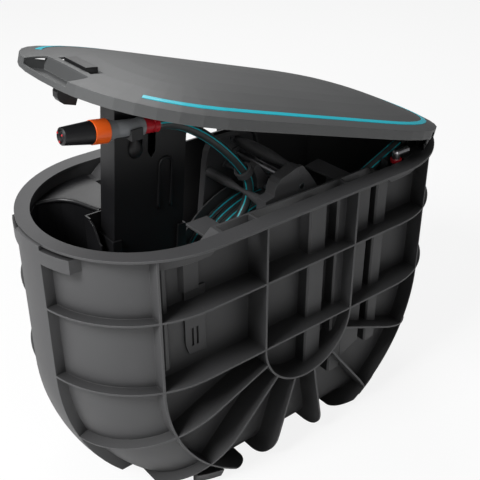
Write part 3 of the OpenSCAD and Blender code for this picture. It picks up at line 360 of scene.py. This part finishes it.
def wound_way(a):
    """The outer layer's heading at a degrees."""
    r, s = WOUND_R, math.radians(a)
    return Vector((-r * math.sin(s), PITCH / (2 * math.pi), r * math.cos(s))).normalized()


def lead_in():
    """Where the feed hose becomes the outer layer."""
    return around(LEAD, WOUND_R, FEED_Y) - 2 * HOSE_R * wound_way(LEAD)


def add_wound_hose():
    """The outer layer in one smooth tube, with the end that dives into the layer below."""
    step, dive_steps, dive_step = 3, 15, 2.4 * MM
    dive, dive_rate = 40, 4  # degrees in all, and for each step
    last = LEAD + WOUND_ANGLE
    way = wound_way(last)
    path = [lead_in()] + winding(WOUND_ANGLE, LEAD, WOUND_R, FEED_Y, step)
    end = path[-1] + 2 * HOSE_R * way
    path.append(end)
    down = -Vector((math.cos(math.radians(last)), 0, math.sin(math.radians(last))))
    for i in range(1, dive_steps + 1):
        a = math.radians(min(dive, dive_rate * i))
        end = end + dive_step * (math.cos(a) * way + math.sin(a) * down)
        path.append(end)
    piece = smooth_tube("wound_hose_skin", path, SKIN_R, stripes=STRIPES)
    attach(piece, "drum")
    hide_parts("wound_hose", "hose_stub")


def drum_core():
    """The turns below the ones that show, as ridged rings round the hub."""
    turns, ridge_rows, sides = 7, 7, 96
    low, ridge = 0.134, 0.006
    points = []
    for i in range(turns):
        y = DRUM_Y + HOSE_R + PITCH * i
        for j in range(ridge_rows):
            a = math.pi * j / (ridge_rows - 1)
            points += [around(360 * k / sides, low + ridge * math.sin(a), y - HOSE_R * math.cos(a))
                       for k in range(sides)]
    faces = [(a, b, b_next, a_next) for a, a_next, b_next, b in ring_faces(turns * ridge_rows, sides)]
    return add_mesh("inner_hose_core", points, faces, MATERIALS["hose"], smooth=True)


def add_inner_turns():
    """The layer below the outer one, over a core."""
    turns, first, step = 6.9, 20, 4
    path = winding(turns * 360, first, LAYER_R - HOSE_R, DRUM_Y + HOSE_R, step)
    piece = smooth_tube("inner_hose_skin", path, SKIN_R, sides=20, stripes=STRIPES)
    core = drum_core()
    for p in (piece, core):
        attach(p, "drum")
    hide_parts("inner_turns")
    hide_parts("inner_turns")


def bezier(a, b, c, d, t):
    return (1 - t) ** 3 * a + 3 * t * (1 - t) ** 2 * b + 3 * t * t * (1 - t) * c + t ** 3 * d


def on_roll(heading):
    """The hose's middle on the guide roller where it heads this way, in degrees."""
    a = math.radians(heading + 90)
    return ROLL + ROLL_R * Vector((math.cos(a), 0, math.sin(a)))


def add_feed_hose():
    """From the nozzle over the roller to the reel."""
    bend_steps, roll_steps, fall_steps = 40, 24, 10
    coupling, straight, way_out, way_in, tail = 26.05 * MM, 8 * MM, 66 * MM, 60 * MM, 4 * MM
    way = Vector((math.cos(NOZZLE_TILT), 0, -math.sin(NOZZLE_TILT)))
    start = NOZZLE + coupling * way
    a = math.radians(ROLL_FROM)
    handle = Vector((math.cos(a), 0, math.sin(a)))
    on, off, lead = on_roll(ROLL_FROM), on_roll(ROLL_TO), lead_in()
    bends = (start + straight * way, start + way_out * way, on - way_in * handle, on)
    path = [start]
    path += [bezier(*bends, i / bend_steps) for i in range(bend_steps + 1)]
    path += [on_roll(ROLL_FROM + (ROLL_TO - ROLL_FROM) * i / roll_steps) for i in range(1, roll_steps + 1)]
    path += [off + (lead - off) * i / fall_steps for i in range(1, fall_steps)]
    path += [lead - tail * wound_way(LEAD), lead]
    piece = smooth_tube("feed_hose_skin", path, SKIN_R, stripes=STRIPES)
    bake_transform(piece)
    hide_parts("feed_hose")


def add_supply_hose():
    """Up from the swivel elbow, through a bend and straight to the inlet."""
    rise_steps, bend_steps, run_steps = 6, 24, 10
    x, y, low, high = 0.05, -0.128, 0.287, 0.386
    bend, turn = 0.07, 69
    inlet = Vector((0.258, -0.124, 0.513))
    path = [Vector((x, y, low + (high - low) * i / rise_steps)) for i in range(rise_steps + 1)]
    for i in range(1, bend_steps + 1):
        a = math.radians(180 - turn * i / bend_steps)
        path.append(Vector((x + bend + bend * math.cos(a), y, high + bend * math.sin(a))))
    start = path[-1]
    path += [start + (inlet - start) * i / run_steps for i in range(1, run_steps + 1)]
    piece = smooth_tube("supply_hose_skin", path, SKIN_R, stripes=STRIPES)
    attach(piece, "frame")
    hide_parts("supply_hose")


# Lid

HINGE_X, HINGE_Z = 366, 512  # mm
LID_OPEN = math.radians(17.4)


def opened(x, y, z):
    """A point of the shut lid, in mm, where the open lid has it, in metres."""
    a = LID_OPEN
    dx, dz = x - HINGE_X, z - HINGE_Z
    return Vector((
        HINGE_X + dx * math.cos(a) + dz * math.sin(a),
        y,
        HINGE_Z - dx * math.sin(a) + dz * math.cos(a),
    )) * MM


def slab_mesh(slabs):
    """Points and faces of slabs in the lid, each from its outline in plan, its floor and its top."""
    points, faces = [], []
    for outline, low, high in slabs:
        first, n = len(points), len(outline)
        points += [opened(x, y, z) for z in (low, high) for x, y in outline]
        faces.append(tuple(first + k for k in reversed(range(n))))
        faces.append(tuple(first + n + k for k in range(n)))
        for k in range(n):
            a, b = first + k, first + (k + 1) % n
            faces.append((a, b, b + n, a + n))
    return points, faces


def add_mouth_pocket():
    """Floor and walls behind the lid's finger opening."""
    half, back, wall = 64, -339, 2
    under, floor, side_top, back_top = 506, 508, 521, 527
    straight, end, wide, power = 145, 234, 194, 2.6

    def rim(y):
        """Where the lid's curved end is at y."""
        return -(straight + end * (1 - (abs(y) / wide) ** power) ** (1 / power))

    outer, front = back - wall, rim(half) + 3
    edge = [(rim(y), y) for y in (half * (1 - k / 12) for k in range(25))]
    slabs = [
        ([(back, half)] + edge + [(back, -half)], under, floor),
        ([(back, half), (outer, half), (outer, -half), (back, -half)], floor, back_top),
    ]
    for y in (half, wall - half):
        slabs.append(([(outer, y), (front, y), (front, y - wall), (outer, y - wall)], floor, side_top))
    piece = add_mesh("mouth_pocket", *slab_mesh(slabs), MATERIALS["lid"])
    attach(piece, "lid")


# Nozzle


def add_nozzle_marks():
    """Three red marks on the tip's end face."""
    axis = Vector((-math.cos(NOZZLE_TILT), 0, math.sin(NOZZLE_TILT)))
    up = axis.cross(SIDEWAYS)
    face = NOZZLE + 135 * MM * axis
    outline = ((6, -1.1), (9, -1.5), (9, 1.5), (6, 1.1))  # mm, outwards and along the ring
    sunk, proud = -0.5, 0.4
    quads = ((0, 1, 2, 3), (4, 5, 6, 7), (0, 1, 5, 4), (1, 2, 6, 5), (2, 3, 7, 6), (3, 0, 4, 7))
    points, faces = [], []
    for k in range(3):
        a = math.radians(90 + 120 * k)
        out = math.cos(a) * SIDEWAYS + math.sin(a) * up
        along = -math.sin(a) * SIDEWAYS + math.cos(a) * up
        first = len(points)
        for high in (sunk, proud):
            points += [face + MM * (r * out + t * along + high * axis) for r, t in outline]
        faces += [tuple(first + i for i in q) for q in quads]
    piece = add_mesh("nozzle_marks", points, faces, MATERIALS["red"])
    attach(piece, "nozzle_head")


# Tray


def curve_through(path, steps):
    """A smooth curve through path's points, with steps points for each of its stretches."""
    curve, last = [], len(path) - 1
    for i in range(last):
        p0, p1, p2, p3 = path[max(i - 1, 0)], path[i], path[i + 1], path[min(i + 2, last)]
        for t in (k / steps for k in range(steps)):
            curve.append(0.5 * (2 * p1 + (p2 - p0) * t + (2 * p0 - 5 * p1 + 4 * p2 - p3) * t * t
                                + (3 * p1 - p0 - 3 * p2 + p3) * t ** 3))
    return curve + path[-1:]


def add_tray_crest():
    """Rolled crest along the well's edge."""
    corners = [(-331, 126), (-322, 126), (-304, 124), (-284, 114.5), (-269, 94.5), (-258, 60), (-252.5, 41)]
    height, radius = 478.8, 4 * MM
    path = curve_through([Vector((x, y, height)) * MM for x, y in corners], steps=6)
    piece = smooth_tube("tray_crest", path, radius, sides=16, key="dark")
    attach(piece, "frame")


# Tower


def add_tower_bail():
    """Raised bail on the tower's front wall: two legs and the arch that joins their tops."""
    half, leg, radius = 12 * MM, 74 * MM, 2.4 * MM
    leg_steps, arch_steps = 8, 16
    lean = math.radians(5)
    up, out = Vector((math.sin(lean), 0, math.cos(lean))), Vector((math.cos(lean), 0, -math.sin(lean)))
    middle = Vector((-0.1595, -0.0125, 0.553))
    path = [middle - half * out - leg * up * (1 - i / leg_steps) for i in range(leg_steps)]
    for i in range(arch_steps + 1):
        a = math.pi * (1 - i / arch_steps)
        path.append(middle + half * (math.cos(a) * out + math.sin(a) * up))
    path += [middle + half * out - leg * up * i / leg_steps for i in range(1, leg_steps + 1)]
    piece = smooth_tube("tower_bail", path, radius, sides=14, key="dark")
    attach(piece, "tower")


def add_tower_boss():
    """Rounded boss on the front wall below the nozzle, wider below than above."""
    rows, sides = 10, 36
    deep, tall, wide, taper = 9 * MM, 19 * MM, 12, 3.5
    centre = Vector((-0.2125, -0.012, 0.597))
    points = [centre + Vector((0, -deep, 0))]
    for i in range(1, rows + 1):
        r, sunk = math.sin(math.pi / 2 * i / rows), math.cos(math.pi / 2 * i / rows)
        for k in range(sides):
            a = 2 * math.pi * k / sides
            reach = (wide - taper * math.sin(a)) * MM
            points.append(centre + Vector((reach * r * math.cos(a), -deep * sunk, tall * r * math.sin(a))))
    faces = [(0, 1 + k, 1 + (k + 1) % sides) for k in range(sides)] + ring_faces(rows, sides, first=1)
    piece = add_mesh("tower_boss", points, faces, MATERIALS["dark"], smooth=True)
    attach(piece, "tower")


# Reel


def add_screw_thread():
    """The crossed threads that send the guide's follower to and fro."""
    x, z = 37.91 * MM, 492.68 * MM
    r, pitch, first, last = 5.55 * MM, 24 * MM, -0.088, 0.046
    steps, wire = 260, 0.45 * MM
    for name, hand in (("screw_thread_out", 1), ("screw_thread_back", -1)):
        path = []
        for i in range(steps + 1):
            y = first + (last - first) * i / steps
            a = hand * 2 * math.pi * (y - first) / pitch
            path.append(Vector((x + r * math.cos(a), y, z + r * math.sin(a))))
        piece = smooth_tube(name, path, wire, sides=6, key="steel")
        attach(piece, "screw")


add_camera()
add_world(ambient=0.16)
add_lamp("key", (-2.4, -0.3, 2.7), aim=(0, 0, 0.4), size=1.3, power=125)
add_lamp("front", (-0.9, -2.4, 1.6), aim=(0, 0, 0.35), size=1.6, power=10)
add_lamp("back", (1.2, 2.0, 2.4), aim=(0, 0, 0.5), size=1.6, power=30)
add_floor(half=9, share=0.86)
finish_nodes()
add_wound_hose()
add_inner_turns()
add_feed_hose()
add_supply_hose()
add_mouth_pocket()
add_tower_bail()
add_tower_boss()
add_nozzle_marks()
add_tray_crest()
add_screw_thread()

bpy.context.scene.view_settings.view_transform = "Standard"
